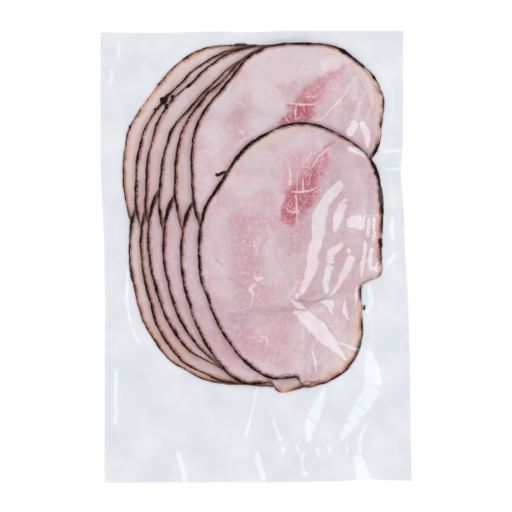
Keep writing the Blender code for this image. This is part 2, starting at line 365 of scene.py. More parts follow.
LOWER_MASKS = {
    "rose": [((48.5, 74, 1.5), (41, 61, 5.5), (34.5, 49, 8.5), (28.5, 38, 9.5), (22, 27, 6.5))],
    "deep": [((38, 57, 2.5), (33.5, 46, 6.0), (28, 36, 7.5), (23, 28, 6.0))],
    "pink": [
        ((15, 25, 2.5), (10, 22, 2.0), (-9, 23, 3.5)),
        ((-8, 18, 6.0), (-7, 4, 8.0), (-3, -8, 6.0)),
        ((6, -22, 5.0), (11, -32, 5.0), (19, -38, 3.0)),
        ((17.5, -46, 1.6), (18.0, -58, 2.8)),
        ((28, 62, 6.0), (22, 46, 6.0), (29, 22, 4.5), (23, 0, 4.5)),
        ((-14, -42, 5.0), (-2, -60, 7.0), (14, -66, 5.0)),
    ],
    "pale": [
        ((9, 13, 2.5), (10.5, 2, 5.5), (10, -12, 6.0), (9, -22, 3.0)),
        ((-24, 24, 6.0), (-26, 0, 8.0), (-22, -22, 7.0)),
        ((6, 66, 9.0), (-6, 44, 8.0)),
        ((18, 76, 6.0), (42, 76, 7.0)),
        ((60, 62, 6.0), (65, 46, 8.0), (68, 30, 6.0)),
        ((36, -62, 5.0), (28, -72, 6.0)),
        ((76, 28, 3.0), (77, 8, 4.0), (76, -10, 3.0)),
    ],
    "thick": [
        ((76, 66, 2), (82, 50, 3), (84, 30, 3)),
        ((-36, 24, 2), (-30, 40, 3), (-18, 58, 2), (-4, 72, 1.5), (8, 81, 1)),
        ((0, -77, 0), (12, -81.5, 0.3), (24, -81, 0.3)),
    ],
    "smoked": [((-37, -12, 3), (-28, -42, 6), (-8, -74, 9), (14, -82, 7), (34, -86, 5))],
    "amber": [
        ((84, 40, 4), (84, 24, 8), (83, 4, 6)),
        ((70, -40, 7), (69, -56, 10), (62, -72, 9), (46, -84, 5)),
    ],
    "beige": [
        ((-32, 34, 2.5), (-22, 50, 4.0), (-10, 67, 5.0), (4, 77, 6.0), (20, 84, 5.0), (36, 86, 3.0)),
        ((82, 40, 3.0), (82, 20, 4.0)),
        ((66, -46, 4.0), (64, -58, 7.0), (56, -70, 7.0), (46, -78, 5.0)),
        ((40, -84, 3.5), (30, -83, 3.5)),
    ],
    "golden": [((42, -85, 1.5), (33, -86, 3.0), (28, -82, 2.0))],
    "bare": [
        ((80, -15, 2.5), (72, -18, 2.5), (70.5, -39, 2.5)),
        ((85, 21, 1.5), (84, 14, 1.5)),
        ((52.3, 82.8, 0.3), (64.6, 75.2, 0.3)),
        ((84, 3, 1.0), (84, -4, 2.0), (83, -9, 1.5)),
        ((38, -85, 0.5), (31, -86, 1.0), (27, -82, 0.5)),
    ],
}
MASK_EDGES = {  # how softly and how raggedly each mask ends, in millimetres
    "rose": (4.0, 2.0), "deep": (6.0, 2.5), "pink": (9.0, 2.0), "pale": (9.0, 2.0),
    "thick": (4.0, 1.0), "beige": (6.0, 2.5), "smoked": (6.0, 1.5), "amber": (6.0, 1.5),
    "golden": (2.0, 0.8), "bare": (3.0, 1.5),
}  # fmt: skip
stroke_count = sum(len(strokes) for masks in (UPPER_MASKS, LOWER_MASKS) for strokes in masks.values())
print(stroke_count, "strokes for", len(MASK_EDGES), "masks")

# %% Where the veins of fat run, and the small folds that get painted shade
UPPER_LINES, LOWER_LINES = {}, {}
UPPER_LINES["vein"] = (
    ((21.4, 100.2, 0.5), (28.5, 99.6, 0.9), (36.0, 99.2, 0.8), (41.6, 102.0, 0.5)),
    ((26.6, 98.7, 0.6), (26.0, 94.0, 0.8), (26.6, 89.2, 0.6)),
    ((18.1, 91.2, 0.5), (19.8, 89.5, 0.8), (21.2, 87.7, 0.5)),
    ((24.7, 90.3, 0.5), (29.4, 91.0, 0.6)),
    ((31.3, 98.7, 0.4), (32.2, 95.0, 0.5)),
    ((32.2, 104.4, 0.4), (37.9, 104.9, 0.5), (40.7, 107.2, 0.4)),
    ((29.4, 107.2, 0.3), (33.7, 105.8, 0.5), (36.0, 110.0, 0.4)),
    # This stroke and the next make a white double line: a vein, with the painted glint of a film crease over
    # it.
    (
        (66.0, 118.4, 0.6), (58.4, 107.0, 0.7), (51.5, 98.9, 0.8), (45.4, 92.6, 0.7), (42.1, 89.3, 0.9),
        (37.9, 89.7, 0.5),
    ),
    ((57.2, 103.9, 0.4), (49.2, 96.4, 0.5), (44.5, 90.5, 0.5)),
    ((-18.0, 107.0, 0.5), (-14.8, 103.4, 0.7), (-8.2, 98.6, 0.5)),
    ((-11.9, 82.8, 0.5), (-8.4, 81.4, 0.7), (-7.7, 78.5, 0.5)),
    ((-18.5, 84.6, 0.4), (-14.8, 81.8, 0.6)),
    ((-11.5, 75.2, 0.5), (-6.3, 77.1, 0.8), (-3.9, 77.1, 0.4)),
)
LOWER_LINES["vein"] = (
    ((49.0, 72.4, 0.5), (40.7, 64.9, 0.9), (36.0, 58.3, 0.6), (32.2, 56.1, 0.4)),
    ((36.5, 68.7, 0.4), (33.2, 62.1, 0.6)),
    ((23.3, 42.8, 0.6), (29.4, 42.5, 1.0), (35.1, 42.8, 0.7), (39.8, 45.9, 0.4)),
    ((30.8, 50.8, 0.5), (30.8, 43.3, 0.8)),
    ((26.6, 49.9, 0.4), (27.3, 42.8, 0.6)),
    ((26.1, 40.0, 0.7), (26.6, 30.9, 0.9), (26.5, 24.0, 0.5)),
    ((17.8, 33.2, 0.5), (23.7, 28.0, 0.6), (27.0, 30.6, 0.5)),
    ((36.0, 54.6, 0.5), (34.6, 47.0, 0.5)),
    ((22.4, 57.4, 0.7), (21.9, 47.0, 0.9)),
    ((18.1, 66.3, 0.4), (21.0, 62.1, 0.5), (22.4, 56.4, 0.5)),
    ((28.5, 56.4, 0.4), (25.7, 48.9, 0.5)),
    ((4.0, 13.2, 0.6), (1.0, 8.5, 0.5), (0.3, 3.8, 0.9), (0.5, 1.5, 0.5)),
    ((-1.1, 10.4, 0.5), (-1.0, 7.1, 1.0), (-1.6, 5.7, 0.4)),
    ((-9.6, 9.4, 0.5), (-7.7, 10.2, 0.8)),
    ((-7.7, -1.8, 0.5), (-5.4, 0.0, 0.5)),
    ((-0.7, -10.3, 0.4), (1.4, -12.6, 0.4), (3.9, -10.8, 0.4), (2.2, -8.2, 0.4), (-0.5, -9.5, 0.4)),
    ((-1.1, -9.8, 0.5), (-0.7, -13.1, 1.0), (0.8, -15.5, 1.8), (4.5, -14.1, 1.2)),
    ((-1.1, -18.8, 1.0), (-3.9, -21.8, 1.8), (-2.3, -25.3, 1.2), (-2.5, -28.2, 0.7), (-3.9, -32.9, 0.6)),
    ((-3.9, -32.9, 0.6), (-7.2, -34.7, 0.5), (-12.9, -34.7, 0.5), (-18.5, -36.1, 0.5), (-25.1, -38.2, 0.4)),
    ((-24.2, -37.6, 0.3), (-16.6, -40.6, 0.4), (-5.4, -39.9, 0.4), (0.3, -37.7, 0.4), (5.9, -39.9, 0.5)),
    ((-3.7, -52.8, 0.5), (0.5, -53.7, 0.8)),
    ((2.6, -52.8, 0.6), (6.4, -53.3, 1.0), (7.6, -55.9, 0.8), (6.9, -58.7, 0.6)),
    ((1.2, -55.4, 0.5), (3.6, -54.7, 0.7), (4.0, -50.7, 0.4)),
    ((-5.4, 23.1, 0.3), (-4.2, 17.0, 0.4)),
    ((6.9, 20.7, 0.4), (8.9, 15.1, 0.5)),
    ((-15.7, -12.2, 0.3), (-11.0, -10.8, 0.5), (-2.5, -11.4, 0.3)),
    ((24.7, -9.4, 0.6), (25.2, -12.2, 0.7)),
    ((26.6, -1.4, 0.4), (32.2, 1.9, 0.5)),
)
UPPER_LINES["shaded_fold"] = (
    ((67.0, 117.0, 0.5), (73.0, 107.0, 0.6), (76.0, 93.0, 0.5)),
    ((10.6, 110.0, 0.4), (13.6, 106.1, 0.5)),
    ((9.0, 124.0, 0.3), (16.0, 126.0, 0.4), (20.0, 122.0, 0.3)),
    ((64.0, 119.8, 1.0), (65.2, 119.6, 1.0)),
    ((6.0, 128.0, 0.3), (10.0, 131.0, 0.4)),
    ((46.0, 128.0, 0.4), (52.0, 124.0, 0.4)),
)
LOWER_LINES["shaded_fold"] = (
    ((7.8, 13.2, 0.5), (3.7, 7.8, 0.7), (2.9, 1.9, 0.6), (4.2, -5.1, 0.5), (5.2, -14.1, 0.4)),
    ((14.4, 12.3, 0.3), (14.9, 8.0, 0.4), (12.5, 2.7, 0.5), (13.6, -1.4, 0.5), (16.4, -5.8, 0.5)),
    ((-26.5, -0.9, 0.7), (-22.3, -5.8, 0.9)),
    ((-20.4, -12.9, 0.4), (-14.8, -15.5, 0.6), (-6.1, -20.8, 0.5)),
    ((22.8, -26.3, 0.6), (28.5, -28.3, 0.9), (35.5, -30.2, 0.8), (45.4, -28.2, 0.9)),
    ((17.2, 81.4, 0.3), (21.9, 84.6, 0.3)),
    ((27.5, -37.6, 0.3), (32.7, -46.0, 0.6), (36.0, -47.9, 0.4)),
    ((48.0, -50.0, 0.4), (52.0, -58.0, 0.5)),
)
LOWER_LINES["singed"] = (
    ((27.6, -83.4, 0.5), (34.2, -82.6, 0.7), (39.5, -83.0, 0.6), (42.1, -80.0, 0.4)),
    ((46.0, -80.0, 0.4), (50.0, -77.5, 0.5)),
)
for lines in (UPPER_LINES, LOWER_LINES):
    print("lines:", {name: len(strokes) for name, strokes in lines.items()})

# %% How each slice differs
SLICE_LOOKS = (  # shares of beige, dusk, pink, smoked and golden, and how much thinner the rind is
    (0.8, 0.0, 0.4, 0.6, 1.0, 0.6), (0.5, 0.0, 0.4, 1.0, 0.0, 0.4),
    (0.3, 0.1, 0.4, 0.2, 0.0, 0.0), (0.3, 0.2, 0.4, 0.7, 0.0, 0.0),
    (0.2, 0.14, 0.4, 0.5, 0.0, 0.0), (0.1, 0.08, 0.4, 0.2, 0.0, 0.0),
    (0.2, 0.13, 0.4, 0.2, 0.0, 0.0), (0.05, 0.08, 0.4, 0.1, 0.0, 0.0),
    (0.2, 0.2, 0.4, 0.5, 0.0, 0.0), (0.0, 0.08, 0.4, 0.3, 1.0, 0.0),
    (0.0, 0.0, 0.5, 0.2, 0.0, 0.0), (0.0, 0.0, 1.0, 0.1, 0.4, 0.0),
)  # fmt: skip


# %% [markdown]
# ## Materials
#
# A material is a tree of nodes. One short helper lays a node and fills its sockets, with a number, a
# colour or the output of another node, so that a tree reads from top to bottom like a recipe. Patchy
# noise is wanted in the ham, in the crust and in the haze of the film, so it is made once, as a node
# group with named sockets.


# %% Laying nodes
def lay(tree, kind, sockets=None, **settings):
    """Adds a node, sets it up and fills its sockets. Returns the node."""
    made = tree.nodes.new("ShaderNode" + kind)
    for name, value in settings.items():
        setattr(made, name, value)
    for name, value in (sockets or {}).items():
        if isinstance(value, bpy.types.NodeSocket):
            tree.links.new(value, made.inputs[name])
        else:
            made.inputs[name].default_value = value
    return made


def tint(tree, share, under, over):
    """A colour that goes from under to over by a share. Colours are sRGB triples or sockets."""
    mix = lay(tree, "Mix", {0: share}, data_type="RGBA", clamp_factor=True)
    for place, colour in ((6, under), (7, over)):
        if isinstance(colour, bpy.types.NodeSocket):
            tree.links.new(colour, mix.inputs[place])
        else:
            mix.inputs[place].default_value = linear(colour)
    return mix.outputs[2]


def linear(colour):
    """An sRGB triple, 0 to 255, as Blender's linear colour."""
    shares = [part / 255 for part in colour]
    return [s / 12.92 if s <= 0.04045 else ((s + 0.055) / 1.055) ** 2.4 for s in shares] + [1.0]


def sums(tree, operation, first, second):
    """One step of arithmetic on numbers or sockets."""
    return lay(tree, "Math", {0: first, 1: second}, operation=operation).outputs[0]


def times(tree, first, second):
    """Two numbers or sockets multiplied."""
    return sums(tree, "MULTIPLY", first, second)


def glaze(tree, colour, mask, share, over):
    """A colour with another laid over it, as strongly as a mask says and no more than a share."""
    return tint(tree, times(tree, mask, share), colour, over)


def ramp(tree, value, start=0.0, end=1.0, low=0.0, high=1.0, curve="LINEAR"):
    """A number that goes from low to high while a value goes from start to end, and no further."""
    sockets = {"Value": value, 1: start, 2: end, 3: low, 4: high}
    return lay(tree, "MapRange", sockets, interpolation_type=curve).outputs[0]


def masked(tree, name):
    """The value that a piece's vertices keep under a name."""
    return lay(tree, "Attribute", attribute_name=name).outputs["Fac"]


def object_place(tree):
    """The place on a piece, in millimetres."""
    place = lay(tree, "TexCoord").outputs["Object"]
    return lay(tree, "VectorMath", {0: place, 1: (1 / MM,) * 3}, operation="MULTIPLY").outputs[0]


def new_material(name):
    """An empty material and its node tree."""
    material = bpy.data.materials.new(name)
    material.use_nodes = True
    material.node_tree.nodes.clear()
    return material, material.node_tree


# %% A node group for patchy noise
def make_patches():
    """Soft or crisp patches of a given size in millimetres, as a mask."""
    group = bpy.data.node_groups.new("patches", "ShaderNodeTree")
    for name, kind, value in (
        ("Place", "NodeSocketVector", None),
        ("Size", "NodeSocketFloat", 10.0),
        ("Level", "NodeSocketFloat", 0.5),
        ("Softness", "NodeSocketFloat", 0.15),
    ):
        socket = group.interface.new_socket(name, in_out="INPUT", socket_type=kind)
        if value is not None:
            socket.default_value = value
    group.interface.new_socket("Mask", in_out="OUTPUT", socket_type="NodeSocketFloat")
    given = group.nodes.new("NodeGroupInput").outputs
    scaled = lay(group, "VectorMath", {0: given["Place"]}, operation="DIVIDE")
    size = lay(group, "CombineXYZ", {0: given["Size"], 1: given["Size"], 2: given["Size"]})
    group.links.new(size.outputs[0], scaled.inputs[1])
    sockets = {"Vector": scaled.outputs[0], "Scale": 1.0, "Detail": 3.0, "Roughness": 0.6}
    noise = lay(group, "TexNoise", sockets)
    low = sums(group, "SUBTRACT", given["Level"], given["Softness"])
    high = sums(group, "ADD", given["Level"], given["Softness"])
    mask = ramp(group, noise.outputs[0], low, high, curve="SMOOTHSTEP")
    out = group.nodes.new("NodeGroupOutput")
    group.links.new(mask, out.inputs["Mask"])
    return group


patches_group = make_patches()


def patches(tree, place, size, level=0.5, softness=0.15):
    """The patchy mask of the group, at one size."""
    made = lay(tree, "Group", node_tree=patches_group)
    tree.links.new(place, made.inputs["Place"])
    for name, value in (("Size", size), ("Level", level), ("Softness", softness)):
        made.inputs[name].default_value = value
    return made.outputs["Mask"]


print("node group:", patches_group.name)


# %% [markdown]
# The ham's material works outwards from the middle of the slice: muscle first, then the rose muscle, the
# net of threads, the brushed veins and the painted shade along small folds, then fat, smoke, small painted
# glints of the film near the rim and the rind, because each covers what came before; the painted shade
# beside a slice lying on top comes last. The net is the edges of a Voronoi pattern, bent by noise so that
# they don't look like cells. The pattern's third coordinate is the slice's place in the pile, so neighbours
# differ a little, as they do when a ham is sliced.

# %% Colours of the ham
LILAC, PALE, PINK = (211, 182, 190), (232, 217, 221), (213, 163, 173)
ROSE, DEEP_ROSE = (208, 142, 153), (190, 99, 115)
CREAM, BEIGE, FAT, AMBER = (240, 219, 214), (232, 210, 199), (228, 200, 190), (226, 172, 144)
RIND, RIND_BROWN, SCORCHED, GOLDEN = (20, 1, 1), (64, 14, 9), (116, 42, 37), (206, 112, 54)
# Of the next line's colours, the second is the grey painted as shade along small folds.
VEIN, FOLD_SHADE, DUSK, SINGED = (245, 221, 221), (150, 126, 136), (154, 112, 102), (170, 76, 40)
PLANE = 200.0  # a slice's UV map covers a square this wide, in millimetres

# %% Patches of the ham: size in millimetres, level and softness of each kind
CLOUDS, BLOTCHES = (30.0, 0.5, 0.18), (17.0, 0.52, 0.12)
CREAM_FLECKS, PINK_FLECKS = (3.0, 0.56, 0.08), (1.1, 0.6, 0.08)
IN_PINK, IN_ROSE, IN_DEEP = (7.0, 0.42, 0.2), (4.0, 0.3, 0.25), (2.6, 0.4, 0.22)
# The second patches on the next line are the small pale flecks near a rim: painted glints where the film
# puckers.
IN_THREADS, IN_RIM_GLINTS = (9.0, 0.48, 0.15), (1.3, 0.62, 0.04)
IN_GOLDEN, IN_CRUST = (2.2, 0.44, 0.1), (4.0, 0.55, 0.1)
NETS = ((0.12, 0.03, 0.35, "pink"), (0.34, 0.08, 0.5, "rose"))  # cells per mm, thread, share, and where
NET_BEND = (3.0, 3.0, 0.0)  # millimetres by which noise bends the nets
NET_EVERYWHERE = 0.1  # the share of a net outside its muscle


# %% The meat of a slice
def lay_meat(tree, place):
    """The colour of a slice's muscles, fat and veins, with painted shade along its small folds."""
    colour = glaze(tree, LILAC, patches(tree, place, *CLOUDS), 0.6, PALE)
    colour = glaze(tree, colour, patches(tree, place, *BLOTCHES), 0.5, PINK)
    colour = glaze(tree, colour, masked(tree, "pale"), 0.8, PALE)
    pink = times(tree, masked(tree, "pink"), patches(tree, place, *IN_PINK))
    colour = glaze(tree, colour, pink, 0.8, PINK)
    colour = glaze(tree, colour, patches(tree, place, *CREAM_FLECKS), 0.3, CREAM)
    colour = glaze(tree, colour, patches(tree, place, *PINK_FLECKS), 0.25, PINK)

    rose = times(tree, masked(tree, "rose"), patches(tree, place, *IN_ROSE))
    colour = tint(tree, rose, colour, ROSE)
    deep = times(tree, masked(tree, "deep"), patches(tree, place, *IN_DEEP))
    colour = tint(tree, deep, colour, DEEP_ROSE)

    bend = lay(tree, "TexNoise", {"Vector": place, "Scale": 0.35, "Detail": 3.0})
    bent = lay(tree, "VectorMath", {0: bend.outputs["Color"], 1: NET_BEND}, operation="MULTIPLY")
    net_place = lay(tree, "VectorMath", {0: place, 1: bent.outputs[0]}, operation="ADD").outputs[0]
    for cells, width, share, name in NETS:
        cell = {"Vector": net_place, "Scale": cells}
        net = lay(tree, "TexVoronoi", cell, feature="DISTANCE_TO_EDGE").outputs[0]
        thread = ramp(tree, net, width, 0.0, curve="SMOOTHSTEP")
        broken = times(tree, thread, patches(tree, place, *IN_THREADS))
        local = sums(tree, "ADD", times(tree, masked(tree, name), share), NET_EVERYWHERE)
        colour = glaze(tree, colour, broken, local, VEIN)
    colour = glaze(tree, colour, masked(tree, "vein"), 0.85, VEIN)
    # painted shade: a grey line along each small fold
    return glaze(tree, colour, masked(tree, "shaded_fold"), 0.4, FOLD_SHADE)


# %% The rim of a slice: its widths are in millimetres, and uneven noise stretches them
FAT_WIDTH, FAT_UNEVEN, FAT_FADE = -0.8, 8.0, (1.2, 0.4)  # the fat fades between two shares of its width
AMBER_WIDTH, AMBER_LEAST = 15.0, 0.2  # how wide smoke stains, and the noise below which it doesn't
AMBER_FADE, GLINT_REACH = (2.5, -1.5), (6.0, 2.0)  # the stain's soft edge, and how deep the pale flecks of painted glint reach
RIND_FINE, RIND_UNEVEN = 5.2, 3.4  # what a fine and a coarse noise add to the rind
RIND_LESS, RIND_THICK = 3.0, 1.1  # what is taken off it everywhere, and added where it is brushed thick
SCORCHED_SHARE, GOLDEN_RELIEF = 0.8, 0.7  # how strongly meat is scorched, and how much less where golden
SCORCH_FADE, RIND_FADE = (-2.3, 0.2), (-0.3, 0.3)  # how soft the scorched edge and the rind's own are


def lay_rim(tree, place, colour):
    """Fat, smoke, painted film glints and rind, laid over the meat from the inside out."""
    depth = masked(tree, "rim_depth")
    uneven = lay(tree, "TexNoise", {"Vector": place, "Scale": 0.12, "Detail": 3.0}).outputs[0]
    crumbly = {"Vector": place, "Scale": 1.1, "Detail": 3.0, "Roughness": 0.7}
    fine = lay(tree, "TexNoise", crumbly).outputs[0]
    fat_width = sums(tree, "ADD", times(tree, uneven, FAT_UNEVEN), FAT_WIDTH)
    fat = ramp(tree, sums(tree, "DIVIDE", depth, fat_width), *FAT_FADE)
    colour = glaze(tree, colour, fat, 0.7, FAT)
    smoked = times(tree, masked(tree, "amber"), AMBER_WIDTH)
    amber_width = times(tree, sums(tree, "SUBTRACT", uneven, AMBER_LEAST), smoked)
    amber = ramp(tree, sums(tree, "SUBTRACT", depth, amber_width), *AMBER_FADE)
    colour = glaze(tree, colour, amber, 0.8, AMBER)
    colour = glaze(tree, colour, masked(tree, "dusk"), 0.8, DUSK)
    # small pale flecks near the rim: painted glints where the film puckers over it
    toward_rim = ramp(tree, depth, *GLINT_REACH)
    glint_flecks = times(tree, patches(tree, place, *IN_RIM_GLINTS), toward_rim)
    colour = glaze(tree, colour, glint_flecks, 0.5, CREAM)
    colour = glaze(tree, colour, masked(tree, "singed"), 0.9, SINGED)

    thick = times(tree, masked(tree, "thick"), RIND_THICK)
    swelling = sums(tree, "ADD", times(tree, uneven, RIND_UNEVEN), sums(tree, "SUBTRACT", thick, RIND_LESS))
    rind_width = sums(tree, "ADD", times(tree, fine, RIND_FINE), swelling)
    left = sums(tree, "SUBTRACT", rind_width, depth)
    scorched = ramp(tree, left, *SCORCH_FADE, curve="SMOOTHSTEP")
    golden = times(tree, masked(tree, "golden"), patches(tree, place, *IN_GOLDEN))
    dark = sums(tree, "SUBTRACT", SCORCHED_SHARE, times(tree, masked(tree, "golden"), GOLDEN_RELIEF))
    colour = glaze(tree, colour, scorched, dark, SCORCHED)
    burnt = ramp(tree, left, *RIND_FADE)
    crust = tint(tree, patches(tree, place, *IN_CRUST), RIND, RIND_BROWN)
    return tint(tree, burnt, colour, tint(tree, golden, crust, GOLDEN))


# %% The material of the slices
def make_ham():
    """The slices' material, in the plane of their UV map."""
    material, tree = new_material("ham")
    flat = lay(tree, "UVMap", uv_map="slice_plane").outputs[0]
    centred = lay(tree, "VectorMath", {0: flat, 1: (0.5, 0.5, 0.0)}, operation="SUBTRACT").outputs[0]
    wide = lay(tree, "VectorMath", {0: centred, 1: (PLANE, PLANE, PLANE)}, operation="MULTIPLY").outputs[0]
    stacked = lay(tree, "CombineXYZ", {2: masked(tree, "pile_place")}).outputs[0]
    place = lay(tree, "VectorMath", {0: wide, 1: stacked}, operation="ADD").outputs[0]
    colour = lay_meat(tree, place)
    colour = glaze(tree, colour, masked(tree, "beige"), 0.8, BEIGE)
    colour = lay_rim(tree, place, colour)
    colour = tint(tree, masked(tree, "shade"), colour, DUSK)

    grain = lay(tree, "TexNoise", {"Vector": place, "Scale": 1.1, "Detail": 4.0, "Roughness": 0.65})
    bump = lay(tree, "Bump", {"Height": grain.outputs[0], "Strength": 0.35, "Distance": 0.12 * MM})
    rough = ramp(tree, grain.outputs[0], low=0.34, high=0.6)
    sockets = {"Base Color": colour, "Roughness": rough, "Normal": bump.outputs[0]}
    shader = lay(tree, "BsdfPrincipled", sockets | {"IOR": 1.4, "Specular IOR Level": 0.25})
    lay(tree, "OutputMaterial", {"Surface": shader.outputs[0]})
    return material


ham = make_ham()
print("material:", ham.name, len(ham.node_tree.nodes), "nodes")

# %% [markdown]
# ## One disc for every slice
#
# A slice starts as a flat round disc: a circle filled with one face, inset again and again towards the
# middle so that its edges run in rings, poked shut at the centre, and given thickness. The rings are
# close together at the rim, where the slice is rounded and the rind is narrow. The two whole slices in
# front are what is looked at, so their disc is finer than the one for the ten that are mostly buried, and
# it is divided twice more where a vein or a fold runs.


# %% Modelling the disc
RIM_RINGS = (0.006, 0.009, 0.012, 0.015)  # shares of the radius, from the rim inwards
FINE, COARSE = (360, 46), (240, 22)  # sectors, and rings inside the rim's
HALFWAY = -0.5  # until it is shaped, a closed sheet reaches from 0 down to -1
FACING_UP = 0.5  # a face belongs to the upper side if its normal's z is above this


def make_disc(sectors, rings):
    """A closed disc, one unit in radius and one thick, whose top is at 0."""
    let_go()
    bpy.ops.mesh.primitive_circle_add(vertices=sectors, radius=1.0, fill_type="NGON", location=(0, 0, 0))
    disc = bpy.context.object
    bpy.ops.object.mode_set(mode="EDIT")
    bpy.ops.mesh.select_all(action="SELECT")
    even = (1.0 - sum(RIM_RINGS)) / (rings + 1)
    for width in RIM_RINGS + (even,) * rings:
        bpy.ops.mesh.inset(thickness=width)
    bpy.ops.mesh.poke()
    bpy.ops.object.mode_set(mode="OBJECT")
    add_modifier(disc, "SOLIDIFY", thickness=1.0, offset=-1.0)
    return disc


fine_disc, coarse_disc = make_disc(*FINE), make_disc(*COARSE)
print("discs of", len(fine_disc.data.polygons), "and", len(coarse_disc.data.polygons), "faces")

# %% Stretching a disc to its outline and laying it on the pile
TABLE = 0.15  # the lowest slice lies this high, on the under sheet
SLACK = 0.2  # slices are this much thinner than their share of the pile, so that they never touch
ROUNDING, ROUNDED = 0.35, 0.6  # the rim's edges are worn down by this much, over this distance
UNDER_WORN = 0.6  # the under edge is worn by this share of what the upper one is
NICK, NICK_WAVES = 0.32, ((13, 0.6), (23, 0.4), (41, 0.35), (67, 0.35), (97, 0.3))
NICKED = 20  # nicks fade out over this part of the radius: one twentieth
LINE_EDGE, LINE_TRIM = 0.6, 0.3  # a fine line's soft edge, and how much thinner it is painted
LINE_NEAR = 0.8  # faces this near a line are divided
WIGGLE, WIGGLE_SIZE, WIGGLE_SEEDS = 0.7, 3.0, (41, 42)
SHADE_RUN, SHADE = 3.2, 0.5  # meat darkens this far beside a slice that lies on it, by this share
CREAMY = 0.75  # share of beige fat where it is brushed on under a rim
BARED = 1.6  # how much thinner the rind is where it is brushed off
AMBER_SHARE, LOWER_PALE = 0.85, 0.5  # shares of two masks that all slices of a fan have alike
PILE_STEP = 3.0  # how far the material's pattern moves on from one slice to the next
SLICE_ANGLE, FLAKE_ANGLE, FILM_ANGLE = 50, 40, 30  # degrees between faces above which an edge stays sharp


def nicks(angle, seed):
    """Small ins and outs of a rim, as a knife and a smoked crust leave them."""
    phases = np.random.default_rng(seed).uniform(0, 2 * math.pi, len(NICK_WAVES))
    waves = zip(NICK_WAVES, phases)
    return NICK * sum(share * np.sin(count * angle + phase) for (count, share), phase in waves)


def fit_to(outline, places, seed):
    """Takes places on the disc to the plane of a whole slice, with nicks in its rim."""
    angle, share = np.arctan2(places[:, 1], places[:, 0]), np.hypot(places[:, 0], places[:, 1])
    away = outline.reach(angle) * share + nicks(angle, seed) * ease(share * NICKED - (NICKED - 1))
    return outline.centre[0] + away * np.cos(angle), outline.centre[1] + away * np.sin(angle)


def wiggled(x, y):
    """Places shaken so that a straight stroke looks like a vein."""
    shake_x, shake_y = (WIGGLE * rolling(x, y, WIGGLE_SIZE, seed) for seed in WIGGLE_SEEDS)
    return x + shake_x, y + shake_y


def lay_slice(number):
    """Makes one slice of the pile."""
    laid = slices[number]
    upper = laid.outline is upper_outline
    whole = number >= len(slices) - 2
    lines = UPPER_LINES if upper else LOWER_LINES
    piece = (fine_disc if whole else coarse_disc).copy()
    piece.data = piece.data.copy()
    bpy.context.scene.collection.objects.link(piece)
    take(piece)

    def lined(centres, normals):
        x, y = wiggled(*fit_to(laid.outline, centres, number))
        every = [stroke for strokes in lines.values() for stroke in strokes]
        return (normals[:, 2] > FACING_UP) & (deepest(x, y, every) > -LINE_NEAR)

    for _ in range(2 if whole else 0):
        choose_faces(piece, lined)
        bpy.ops.mesh.subdivide(number_cuts=1, ngon=False)
        bpy.ops.object.mode_set(mode="OBJECT")
    unit = read_places(piece.data)
    x, y = fit_to(laid.outline, unit, number)
    depth = laid.outline.depth(x, y)

    plane = piece.data.uv_layers.new(name="slice_plane")
    corners = np.empty(len(piece.data.loops), int)
    piece.data.loops.foreach_get("vertex_index", corners)
    plane.data.foreach_set("uv", (np.stack([x, y], 1)[corners] / PLANE + 0.5).ravel())
    beige, dusk, pink, smoke, gold, thin = SLICE_LOOKS[number]
    shares = {"pink": pink, "smoked": smoke, "amber": AMBER_SHARE, "golden": gold}
    shares["pale"] = 1.0 if upper else LOWER_PALE
    painted = {}
    for name, strokes in (UPPER_MASKS if upper else LOWER_MASKS).items():
        soft, ragged = MASK_EDGES[name]
        painted[name] = shares.get(name, 1.0) * brushed(x, y, strokes, soft, ragged, number)
    for name, strokes in lines.items() if whole else ():
        painted[name] = brushed(*wiggled(x, y), strokes, LINE_EDGE, trim=LINE_TRIM)
    painted["thick"] -= BARED * painted.pop("bare") + thin
    painted["amber"] = np.maximum(painted["amber"], painted.pop("smoked"))
    painted["beige"] = np.maximum(beige, CREAMY * painted["beige"])
    for name, values in painted.items():
        keep_value(piece.data, name, values)
    keep_value(piece.data, "rim_depth", depth)
    for name, value in (("pile_place", PILE_STEP * number), ("dusk", dusk)):
        keep_value(piece.data, name, np.full(len(x), value))

    x, y = x - laid.slide(y), y - laid.drop
    beside = [cover.depth(x, y) for cover in slices[number + 1 :]] or [np.full(len(x), FAR_OUTSIDE)]
    shade = SHADE * ease(1 + np.max(beside, 0) / SHADE_RUN)
    keep_value(piece.data, "shade", shade * (1 - painted["golden"]))
    rest = TABLE + pile_height(slices[:number], x, y, cover=1.0)
    worn = ROUNDING * ease(1 - depth / ROUNDED)
    top, under = rest + THICKNESS - SLACK - worn, rest + UNDER_WORN * worn
    write_places(piece.data, x, y, np.where(unit[:, 2] > HALFWAY, top, under))
    bpy.ops.object.shade_smooth_by_angle(angle=math.radians(SLICE_ANGLE))
    name_piece(piece, laid.name, ham)


# %% Laying the twelve slices
for number in range(len(slices)):
    lay_slice(number)
for disc in (fine_disc, coarse_disc):
    bpy.data.objects.remove(disc)

# %% [markdown]
# ## Flakes of crust
#
# Bits of the black crust have come off and lie on the slices: a torn corner, a few splinters and some
# crumbs. Each is an icosphere, flattened, drawn out along one line and made uneven by the rolling noise.

